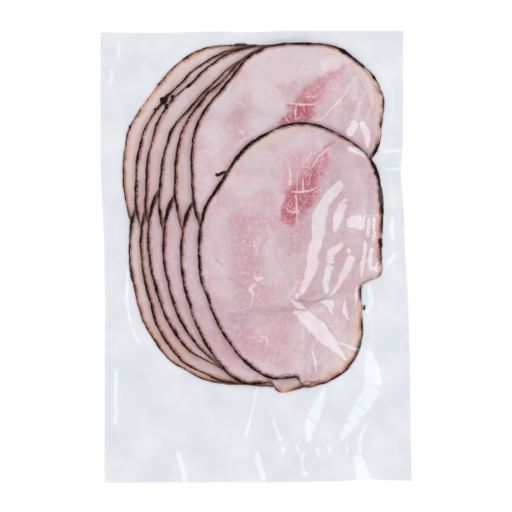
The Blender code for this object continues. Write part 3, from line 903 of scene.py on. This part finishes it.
# %% Where the flakes lie, and their shapes
CHAR, CHAR_BROWN = (26, 16, 15), (92, 50, 34)
IN_CHAR = (1.6, 0.58, 0.1)  # size, level and softness of its brown patches
FLAKES = (  # x, y, length, width, height, turn in degrees
    (-60.6, 102.4, 6.2, 5.4, 0.7, 40.0), (-58.8, 98.8, 3.2, 3.8, 0.6, -30.0),
    (-65.4, 97.0, 3.6, 1.6, 0.5, 25.0), (-54.5, 104.8, 2.6, 2.4, 0.5, 10.0),
    (-57.5, 106.4, 7.5, 1.5, 0.5, 38.0), (-22.4, 54.2, 6.8, 2.2, 0.7, 24.0),
    (-25.2, 53.1, 3.2, 2.6, 0.8, -10.0), (-82.9, 85.4, 2.4, 1.8, 0.5, 60.0),
    (-9.9, 139.4, 8.5, 1.5, 0.5, 2.0), (78.6, 69.4, 3.6, 1.8, 0.6, 50.0),
    (81.8, 9.0, 2.4, 6.4, 0.7, 14.0), (-43.5, 112.0, 4.0, 1.5, 0.5, 38.0),
    (71.2, -33.6, 1.4, 3.4, 0.5, -8.0),
)  # fmt: skip
FLAKE_ROUGH, FLAKE_BUMP = 0.3, 1.8  # how uneven a flake is, and the size of its bumps
FLAKE_GAP = 0.1  # flakes lie this far above the slices
FLAKE_APART, FLAKE_BOTH = 9, 5  # steps through the noise, so that no two flakes and no two sides are alike


def make_char():
    """The flakes' material."""
    material, tree = new_material("charred_crust")
    place = object_place(tree)
    colour = tint(tree, patches(tree, place, *IN_CHAR), CHAR, CHAR_BROWN)
    grain = lay(tree, "TexNoise", {"Vector": place, "Scale": 2.0, "Detail": 3.0})
    bump = lay(tree, "Bump", {"Height": grain.outputs[0], "Strength": 0.7, "Distance": 0.2 * MM})
    rough = ramp(tree, grain.outputs[0], low=0.45, high=0.8)
    sockets = {"Base Color": colour, "Roughness": rough, "Normal": bump.outputs[0]}
    shader = lay(tree, "BsdfPrincipled", sockets)
    lay(tree, "OutputMaterial", {"Surface": shader.outputs[0]})
    return material


# %% Modelling the flakes and joining them
FILM_SPREAD, SHOULDER_SPREAD = 0.8, 4.0  # the film bridges each step by this much more than a slice would
SHOULDER_LEFT, SHOULDER_RUN = 30.0, 25.0  # and more so over the buried rims on the right


def pile_top(x, y):
    """The top of the whole pile, as the film meets it."""
    spread = FILM_SPREAD + SHOULDER_SPREAD * ease((x - SHOULDER_LEFT) / SHOULDER_RUN)
    return TABLE + pile_height(slices, x, y, spread=spread) - SLACK


flakes = []
for number, (x, y, length, width, height, turn) in enumerate(FLAKES):
    let_go()
    bpy.ops.mesh.primitive_ico_sphere_add(subdivisions=3, radius=0.5, location=(0, 0, 0))
    flake = bpy.context.object
    bpy.ops.object.mode_set(mode="EDIT")
    bpy.ops.mesh.select_all(action="SELECT")
    bpy.ops.transform.resize(value=(length, width, height))
    bpy.ops.transform.rotate(value=-math.radians(turn), orient_axis="Z", center_override=(0, 0, 0))
    bpy.ops.object.mode_set(mode="OBJECT")
    shape = read_places(flake.data)
    noise_x, noise_y = shape[:, 0] + FLAKE_APART * number, shape[:, 1] + FLAKE_BOTH * shape[:, 2]
    rough = 1 + FLAKE_ROUGH * rolling(noise_x, noise_y, FLAKE_BUMP, number)
    along, across = x + shape[:, 0] * rough, y + shape[:, 1] * rough
    write_places(flake.data, along, across, pile_top(along, across) + shape[:, 2] * rough + FLAKE_GAP)
    flakes.append(flake)
let_go()
for flake in flakes:
    flake.select_set(True)
bpy.context.view_layer.objects.active = flakes[0]
bpy.ops.object.join()
bpy.ops.object.shade_smooth_by_angle(angle=math.radians(FLAKE_ANGLE))
name_piece(bpy.context.object, "crust_flakes", make_char())

# %% [markdown]
# ## The film
#
# The pouch is two sheets of clear film. Under the ham the lower sheet is flat; the upper one is sucked
# onto every rim and lies on the lower one all round, where both ripple together. Each sheet is so thin
# that it would vanish in a render, so the pouch is modelled as one closed skin round the slices: a grid,
# given a second side and walls, and divided more finely where it comes down a rim, is crushed or is
# creased. What makes film look like film is its creases: film that is pulled flat and leans towards the
# lamp lights up whole, with a crisp edge. So the creases are modelled as strokes too. Over the ham, the
# film inside a stroke is pulled into one plane that faces the lamp. In the loose margin it is folded up,
# and falls across the stroke just as steeply. Both kinds have torn edges.

# %% The pouch's edge, drawn in unevenly by the vacuum
LEFT_EDGE = ((-148.6, -99.6), (-30.0, -99.3), (12.0, -99.9), (60.0, -102.2), (147.5, -102.2))  # y, x
RIGHT_EDGE = (  # y, x
    (-147.5, 102.4), (-110.0, 101.7), (-60.0, 101.0), (-20.0, 99.8), (-3.0, 98.1), (27.0, 97.6),
    (55.0, 94.8), (72.0, 96.8), (148.5, 96.8),
)  # fmt: skip
BOTTOM_EDGE = (  # x, y
    (-99.6, -148.8), (0.0, -148.5), (58.0, -148.0), (70.0, -145.9), (82.0, -147.4), (102.4, -147.6),
)  # fmt: skip
TOP_EDGE = ((-102.0, 147.3), (-60.0, 146.9), (-20.0, 148.2), (-1.0, 147.1), (15.0, 148.3), (97.0, 148.4))
NEAR_WIDTH, NEAR_LENGTH = 200, 296  # the pouch without its unevenness, to look its edges up by
EDGE_SOFT, EDGE_READS = 9, 7  # an edge's corners are softened over this distance each way, by so many reads
GRID_CELLS = (62, 93)  # cells of the coarse grid, about 3.2 mm wide
SHEETS_APART, SHEET_GAP = 0.12, 0.02  # between the sheets in the margin, and under the lower one
FILM_GAP = 0.2  # the film stands this far off the slices


def curve(places, line):
    """Reads a line of (place, value) pairs at places, without sharp corners."""
    known = np.array(line, float)
    shifts = np.linspace(-EDGE_SOFT, EDGE_SOFT, EDGE_READS)
    return np.mean([np.interp(places + shift, known[:, 0], known[:, 1]) for shift in shifts], 0)


def spread_out(places):
    """Takes the unit square round the origin to the pouch's outline."""
    right, up = places[:, 0] + 0.5, places[:, 1] + 0.5
    near_x, near_y = -NEAR_WIDTH / 2 + NEAR_WIDTH * right, -NEAR_LENGTH / 2 + NEAR_LENGTH * up
    x = curve(near_y, LEFT_EDGE) * (1 - right) + curve(near_y, RIGHT_EDGE) * right
    y = curve(near_x, BOTTOM_EDGE) * (1 - up) + curve(near_x, TOP_EDGE) * up
    return x, y


# %% The creases: strokes of (x, y, half width), each pulled flat
CREASES = (
    (
        (54.0, 46.2, 2.6), (48.6, 40.4, 3.8), (45.4, 35.9, 3.4), (40.8, 25.3, 4.8), (40.8, 14.8, 4.0),
        (36.8, 1.6, 3.8), (36.8, -6.3, 3.6), (33.6, -14.8, 3.0), (29.6, -22.7, 2.0),
    ),
    ((27.0, -25.3, 1.0), (26.3, -27.3, 1.2)),
    ((56.6, 33.2, 2.6), (53.3, 25.3, 3.0), (51.3, 18.1, 1.6)),
    ((59.2, 37.2, 1.2), (57.2, 35.9, 1.0)),
    ((62.4, 22.4, 3.4), (68.2, 22.6, 4.8)),
    ((71.1, 26.3, 0.8), (79.6, 26.0, 0.8)),
    ((73.7, 24.7, 1.0), (73.7, 13.5, 1.0)),
    ((77.3, 24.7, 1.2), (77.6, 10.9, 1.0)),
    ((55.3, 6.9, 1.6), (48.7, 1.6, 2.6), (48.0, -6.9, 2.8)),
    ((48.0, -7.5, 2.6), (45.4, -16.1, 2.2), (46.1, -23.4, 1.4)),
    ((61.2, 3.9, 1.2), (61.2, 3.0, 1.3)),
    ((61.9, -1.6, 2.6), (57.9, -10.9, 2.4), (53.3, -20.1, 1.4), (48.7, -25.3, 0.8)),
    ((42.1, -29.3, 0.8), (48.7, -31.3, 2.6), (49.7, -37.2, 0.6)),
    ((23.7, -29.3, 0.8), (27.6, -31.9, 2.0), (32.2, -33.9, 0.9)),
    (
        (25.7, -36.5, 1.0), (32.2, -40.0, 4.6), (39.5, -46.0, 5.4), (47.4, -54.8, 4.6), (55.9, -63.5, 1.8),
        (58.6, -67.4, 0.8),
    ),
    ((37.0, -62.0, 0.6), (38.6, -68.0, 1.0), (39.4, -74.0, 0.5)),
    ((57.9, -29.9, 0.8), (58.2, -35.9, 1.6), (60.5, -41.1, 0.7)),
    ((55.3, -56.9, 1.0), (65.8, -60.9, 1.3)),
    ((64.5, 87.2, 2.4), (61.9, 81.3, 2.6)),
    ((69.7, 87.2, 1.6), (72.4, 80.6, 2.4), (73.0, 72.7, 1.2)),
    ((61.2, 70.7, 1.6), (67.1, 68.8, 2.4), (72.4, 65.5, 1.4)),
    ((85.5, 68.8, 1.4), (93.4, 70.1, 1.2)),
    ((86.2, 56.9, 0.8), (94.8, 57.6, 0.8)),
    ((71.6, 9.0, 0.8), (70.4, -4.0, 1.3), (69.0, -14.0, 0.7)),
    ((76.2, 4.6, 1.0), (74.6, -3.0, 1.9), (75.6, -8.6, 1.0)),
    ((79.4, -4.0, 0.9), (78.8, -9.0, 1.6)),
    ((66.6, -21.0, 0.8), (66.2, -27.0, 1.2), (64.6, -34.0, 0.6)),
)
MARGIN_CREASES = (
    ((-89.8, 139.2, 0.8), (-90.8, 130.0, 1.4), (-94.1, 123.4, 1.8), (-96.1, 114.2, 0.8)),
    ((-92.4, -75.3, 1.0), (-92.1, -93.1, 1.4), (-92.3, -109.6, 0.8)),
    ((-81.6, -48.4, 0.8), (-79.0, -53.6, 1.3), (-75.9, -57.9, 0.9)),
    ((-84.2, -8.9, 0.6), (-85.2, -28.6, 1.0), (-82.9, -43.1, 0.8)),
    ((0.5, -86.5, 0.8), (-2.6, -102.3, 0.7), (-6.6, -118.1, 0.5)),
    ((11.2, -106.9, 1.1), (16.1, -120.7, 1.6)),
    ((46.0, -86.0, 1.2), (41.0, -97.5, 3.2), (37.0, -108.0, 4.4), (34.5, -120.0, 2.2)),
    (
        (74.0, -62.5, 1.6), (76.6, -73.0, 4.6), (77.2, -86.0, 5.8), (69.7, -99.0, 4.8), (62.5, -110.2, 3.6),
        (55.5, -120.7, 2.2),
    ),
    ((72.7, -110.9, 0.9), (67.1, -121.4, 1.8)),
    ((-50.7, -130.0, 1.3), (-46.6, -146.4, 1.8)),
    ((0.5, -130.0, 1.6), (4.8, -145.1, 2.2)),
    ((30.3, -130.0, 1.8), (32.9, -142.5, 2.2)),
    ((67.1, -132.9, 2.8), (71.3, -146.4, 5.2)),
    ((89.5, 23.4, 1.6), (89.8, 13.5, 1.4)),
    ((84.9, -6.3, 1.4), (91.5, 1.6, 2.0)),
    ((80.3, 10.9, 1.0), (82.2, -3.6, 1.6)),
    ((74.4, -18.8, 1.0), (76.3, -28.6, 2.4), (73.7, -36.5, 1.0)),
)
PUCKERS_AT = (17.5, 27.1, 40.1, 48.0, 59.2, 68.4)  # along the lower weld
SEAL_PUCKERS = tuple(((x, -124.4, 1.0), (x + 0.5, -128.6, 1.1)) for x in PUCKERS_AT)
GLINTS = CREASES + MARGIN_CREASES + SEAL_PUCKERS
print(len(CREASES), "creases over the ham,", len(GLINTS) - len(CREASES), "in the margins")

# %% Where the film is crushed into facets: over the shoulder where the buried rims end
CRUSH_LEFT, CRUSH_RUN = 34.0, 8.0
CRUSH_SIZE, CRUSH_LIFT, CRUSH_SEED = 9.0, 0.7, 21
CRUSH_FADE = 3.0  # it fades in over this distance from a rim
UPPER_CRUSH = 0.4  # its share on the upper slice


def crush_share(x, y):
    """1 on the right shoulder of the lower slice, less on the upper one, 0 on flat faces and in margins."""
    upper, lower = (ease(laid.depth(x, y) / CRUSH_FADE) for laid in slices[-2:])
    return ease((x - CRUSH_LEFT) / CRUSH_RUN) * np.maximum(UPPER_CRUSH * upper, lower)


# %% Modelling the closed skin
NEAR_RIM, NEAR_CREASE, AT_CREASE = 2, 2, 1  # how far round a rim and a crease the film is divided

let_go()
across, along = GRID_CELLS
bpy.ops.mesh.primitive_grid_add(x_subdivisions=across, y_subdivisions=along, size=1, location=(0, 0, 0))
film = bpy.context.object
add_modifier(film, "SOLIDIFY", thickness=1.0, offset=-1.0)


def upper_side(centres, normals):
    return normals[:, 2] > FACING_UP


def detailed(centres, normals):
    """The upper side where it comes down a rim, is crushed or is creased."""
    x, y = spread_out(centres)
    depths = np.array([laid.depth(x, y) for laid in slices])
    stepped = ((depths > -STEP_RUN - NEAR_RIM) & (depths < NEAR_RIM)).any(0)
    crushed_here = crush_share(x, y) > 0
    creased = deepest(x, y, GLINTS) > -NEAR_CREASE
    return (normals[:, 2] > FACING_UP) & (stepped | crushed_here | creased)


def finest(centres, normals):
    """The upper side in and just around the creases."""
    x, y = spread_out(centres)
    return (normals[:, 2] > FACING_UP) & (deepest(x, y, GLINTS) > -AT_CREASE)


for wanted in (upper_side, detailed, finest):
    choose_faces(film, wanted)
    bpy.ops.mesh.subdivide(number_cuts=1, ngon=False)
    bpy.ops.object.mode_set(mode="OBJECT")
    print("film:", len(film.data.polygons), "faces")

# %% How high each sheet lies
CLING, MARGIN_LIFT = 22.0, 1.6  # as the solid's margin: flat beside the ham, rippled further out
RIPPLES = ((0.3, 64.0, 22.0, 0.0), (0.2, -128.0, 80.0, 1.0))  # share, length along x and y, start
LAMP_ANGLE, LAMP_DISTANCE = 20.0, 1250.0  # the lamp leans to the right by degrees
EYE_HEIGHT = 1600.0  # the eye is overhead
CREASE_GROW, CREASE_EDGE, CREASE_CORE = 0.6, 0.6, 0.3  # the core is what the plane is fitted to
CREASE_TILT = 0.12  # how much a plane may turn away from the lamp to fit the film
CREASE_TORN, TORN_SIZE, TORN_SEED = 0.6, 4.0, 31  # how far a crease's edge wanders, over what distance
TENT, TENT_EDGE, TENT_REACH = 0.8, 1.3, 1.0  # over a flake the film stands up like a small tent
TREMBLE = ((9.0, 0.05, 11), (4.0, 0.015, 12))  # size, height and seed of the film's smallest waves


def inside_pile(x, y):
    """How far inside the whole pile's outline a point is, negative outside it."""
    return np.max([laid.depth(x, y) for laid in slices], 0)


def margin_lift(x, y):
    """How high the loose margin ripples off the table."""
    waves = 0.5
    for share, wide, long, start in RIPPLES:
        waves = waves + share * np.sin(2 * math.pi * (x / wide + y / long) + start)
    return MARGIN_LIFT * ease((-inside_pile(x, y) - STEP_RUN) / CLING) * waves


def lit_falls(x, y):
    """How steeply film at a place must fall along x and along y to throw the lamp's light to the eye."""
    lamp_x = LAMP_DISTANCE * math.sin(math.radians(LAMP_ANGLE))
    lamp_z = LAMP_DISTANCE * math.cos(math.radians(LAMP_ANGLE))
    along = math.atan2(lamp_x - x, lamp_z) - math.atan2(x, EYE_HEIGHT)
    across = -math.atan2(y, LAMP_DISTANCE) - math.atan2(y, EYE_HEIGHT)
    return math.tan(along / 2), math.tan(across / 2)


def torn(x, y):
    """What is added to a point's depth in a crease: no crease in film has a smooth edge."""
    return CREASE_GROW + CREASE_TORN * crushed(x, y, TORN_SIZE, TORN_SEED)


def pull_flat(x, y, height, stroke):
    """The film's height with one stroke of it pulled into a plane that faces the lamp, over the ham."""
    depth = along_stroke(x, y, stroke)[0] + torn(x, y)
    inside = depth > -CREASE_CORE * CREASE_EDGE
    middle = y[inside].mean()
    fall, dip = lit_falls(x[inside].mean(), middle)
    above = height + fall * x
    spread = np.sum((y[inside] - middle) ** 2)
    lean = np.sum((y[inside] - middle) * (above[inside] - above[inside].mean())) / max(spread, 1.0)
    lean = np.clip(lean, -dip - CREASE_TILT, -dip + CREASE_TILT)
    plane = (above - lean * y)[inside].max() + lean * y - fall * x
    return height + ease(depth / CREASE_EDGE + 0.5) * (plane - height)


def fold_up(x, y, height, stroke):
    """The same for a stroke of loose film: it follows the margin along its middle and falls across it."""
    depth, away_x, station = along_stroke(x, y, stroke)
    places = np.array(stroke)
    run, rise = np.diff(places[:, :2], axis=0)[np.minimum(station.astype(int), len(places) - 2)].T
    fall = lit_falls(*places[:, :2].mean(0))[0] * (run**2 + rise**2) / rise**2
    middle = np.interp(station, np.arange(len(places)), margin_lift(places[:, 0], places[:, 1]))
    slope = middle + FILM_GAP + fall * (places[:, 2].max() - away_x)
    return height + ease((depth + torn(x, y)) / CREASE_EDGE + 0.5) * (slope - height)


def upper_sheet(x, y):
    """The height of the upper sheet everywhere, with its creases."""
    height = pile_top(x, y) + FILM_GAP + margin_lift(x, y)
    for flake_x, flake_y, length, width, thick, turn in FLAKES:
        away = np.hypot(x - flake_x, y - flake_y) / (0.5 * max(length, width) + TENT_REACH)
        height += TENT * thick * ease(TENT_EDGE - away)
    for size, swing, seed in TREMBLE:
        height += swing * (1 + rolling(x, y, size, seed))
    height += CRUSH_LIFT * crush_share(x, y) * (1 + crushed(x, y, CRUSH_SIZE, CRUSH_SEED))
    for stroke in CREASES:
        height = pull_flat(x, y, height, stroke)
    for stroke in MARGIN_CREASES + SEAL_PUCKERS:
        height = fold_up(x, y, height, stroke)
    return np.maximum(height, margin_lift(x, y) + SHEETS_APART)


unit = read_places(film.data)
film_x, film_y = spread_out(unit)
lower_z = margin_lift(film_x, film_y) + SHEET_GAP
film_z = np.where(unit[:, 2] > HALFWAY, upper_sheet(film_x, film_y), lower_z)
write_places(film.data, film_x, film_y, film_z)
keep_value(film.data, "flat", brushed(film_x, film_y, GLINTS, CREASE_EDGE, trim=-torn(film_x, film_y)))
keep_value(film.data, "taut", ease(1 + inside_pile(film_x, film_y) / STEP_RUN))
print("film stands", round(float(film_z.max()), 2), "mm high")

# %% [markdown]
# The film's material lets light straight through, with a faint cold tint, and mirrors more of it the more
# it is seen from the side, which is what a Fresnel node gives. A sheet this thin has two surfaces that
# mirror, so its index is set above that of the plastic. It is smooth where it is pulled flat and rougher
# where it clings to the ham's grain, and loose film is scuffed and mirrors less. A little white haze
# stands for the sheet's own cloudiness.

# %% The material of the film
CLEAR_TINT, CLEARER_TINT = (246, 247.5, 249.5), (250, 250.5, 251.5)
FLAT_ROUGHNESS, ROUGHNESS = 0.06, 0.22  # where film is pulled flat, and where it clings to the ham's grain
FILM_INDEX, HAZE, CLOUD = 1.6, 0.004, (0.93, 0.95, 0.98, 1.0)
IN_TINT, IN_HAZE = (22.0, 0.5, 0.25), (24.0, 0.5, 0.3)  # size, level and softness of their patches
LOOSE_GLOSS = 0.5  # loose film is scuffed, and mirrors this share of what taut film mirrors


def make_film():
    """Clear film: light passes through, less where it is mirrored, and only the outside mirrors."""
    material, tree = new_material("clear_film")
    place = object_place(tree)
    grain = lay(tree, "TexNoise", {"Vector": place, "Scale": 0.25, "Detail": 2.0})
    uneven = lay(tree, "Bump", {"Height": grain.outputs[0], "Strength": 0.12, "Distance": 0.15 * MM})
    bump = uneven.outputs[0]
    stained = tint(tree, patches(tree, place, *IN_TINT), CLEAR_TINT, CLEARER_TINT)
    through = lay(tree, "BsdfTransparent", {"Color": stained}).outputs[0]
    cloud = lay(tree, "BsdfDiffuse", {"Color": CLOUD, "Normal": bump}).outputs[0]
    haze = times(tree, patches(tree, place, *IN_HAZE), HAZE)
    body = lay(tree, "MixShader", {0: haze, 1: through, 2: cloud}).outputs[0]
    rough = ramp(tree, masked(tree, "flat"), low=ROUGHNESS, high=FLAT_ROUGHNESS)
    gloss = lay(tree, "BsdfGlossy", {"Color": (1, 1, 1, 1), "Roughness": rough, "Normal": bump}).outputs[0]
    mirrored = lay(tree, "Fresnel", {"IOR": FILM_INDEX, "Normal": bump}).outputs[0]
    outside = sums(tree, "SUBTRACT", 1.0, lay(tree, "NewGeometry").outputs["Backfacing"])
    taut = ramp(tree, masked(tree, "taut"), low=LOOSE_GLOSS)
    share = times(tree, times(tree, mirrored, taut), outside)
    skin = lay(tree, "MixShader", {0: share, 1: body, 2: gloss})
    lay(tree, "OutputMaterial", {"Surface": skin.outputs[0]})
    return material


take(film)
bpy.ops.object.shade_smooth_by_angle(angle=math.radians(FILM_ANGLE))
name_piece(film, "pouch_film", make_film())
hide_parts("sealed_pouch")

# %% [markdown]
# ## Table, light and camera
#
# The pack lies on a plain white table. A pale world and a broad lamp overhead light it evenly; the film
# doesn't mirror that lamp, and it sees the world dimmed, so that its gloss comes from one long softbox.
# The softbox stands to the right, where the film's right-hand slopes throw it straight up. The camera
# looks straight down through a long lens, so that the tall middle of the pile doesn't lean outwards.

# %% The table
TABLE_SIZE, TABLE_DROP = 6.0, 0.0003  # metres; the table lies just under the pouch

let_go()
bpy.ops.mesh.primitive_plane_add(size=TABLE_SIZE, location=(0, 0, -TABLE_DROP))
table = bpy.context.object
bpy.ops.object.transform_apply(location=True)
table.name = "table"
table_material, tree = new_material("white_table")
table_place = lay(tree, "TexCoord").outputs["Object"]
speckle = lay(tree, "TexNoise", {"Vector": table_place, "Scale": 60.0, "Detail": 2.0})
shade = ramp(tree, speckle.outputs[0], low=0.95, high=0.97)
matt = {"Base Color": shade, "Roughness": 0.9, "Specular IOR Level": 0.1}
table_shader = lay(tree, "BsdfPrincipled", matt)
lay(tree, "OutputMaterial", {"Surface": table_shader.outputs[0]})
table.data.materials.append(table_material)
print("table of", TABLE_SIZE, "m")

# %% The light
WORLD_LIGHT, DIMMED = 0.57, 0.53  # what mirrors the world sees it this much dimmer, as a dark ceiling
LAMP_WIDTH, LAMP_LENGTH, LAMP_RADIANCE = 0.1, 1.1, 4.7
LAMP_COLOUR, WORLD_COLOUR = (0.77, 1.0, 0.99), (0.98, 0.91, 0.915, 1.0)  # a cold lamp in a warmer room
OVERHEAD_HEIGHT, OVERHEAD_SIZE, OVERHEAD_RADIANCE = 2.0, 2.2, 1.7

world = bpy.data.worlds.new("studio")
world.use_nodes = True
background = world.node_tree.nodes["Background"]
background.inputs["Color"].default_value = WORLD_COLOUR
mirrors = lay(world.node_tree, "LightPath").outputs["Is Glossy Ray"]
strength = sums(world.node_tree, "SUBTRACT", WORLD_LIGHT, times(world.node_tree, mirrors, DIMMED))
world.node_tree.links.new(strength, background.inputs["Strength"])
bpy.context.scene.world = world


def hang_lamp(name, width, length, radiance, distance, angle):
    """A lamp that faces the pack from a distance in metres, leaning to the right by an angle in degrees."""
    let_go()
    lean = math.radians(angle)
    place = (distance * math.sin(lean), 0, distance * math.cos(lean))
    bpy.ops.object.light_add(type="AREA", location=place, rotation=(0, lean, 0))
    lamp = bpy.context.object
    lamp.name = name
    lamp.data.shape, lamp.data.size, lamp.data.size_y = "RECTANGLE", width, length
    lamp.data.energy = radiance * math.pi * width * length
    return lamp


softbox = hang_lamp("softbox", LAMP_WIDTH, LAMP_LENGTH, LAMP_RADIANCE, LAMP_DISTANCE * MM, LAMP_ANGLE)
softbox.data.color = LAMP_COLOUR
overhead = hang_lamp("overhead", OVERHEAD_SIZE, OVERHEAD_SIZE, OVERHEAD_RADIANCE, OVERHEAD_HEIGHT, 0.0)
overhead.visible_glossy = False
print("softbox leans", LAMP_ANGLE, "degrees")

# %% The camera
PICTURE_WIDTH = 0.3369  # metres of table across the picture
CAMERA_HEIGHT, CAMERA_ASIDE, SENSOR = EYE_HEIGHT * MM, 0.0003, 36.0

bpy.ops.object.camera_add(location=(0, CAMERA_ASIDE, CAMERA_HEIGHT), rotation=(0, 0, 0))
camera = bpy.context.object
camera.data.sensor_width = SENSOR
camera.data.lens = SENSOR * CAMERA_HEIGHT / PICTURE_WIDTH
bpy.context.scene.camera = camera
bpy.context.scene.view_settings.view_transform = "Standard"
print("lens of", round(camera.data.lens), "mm")
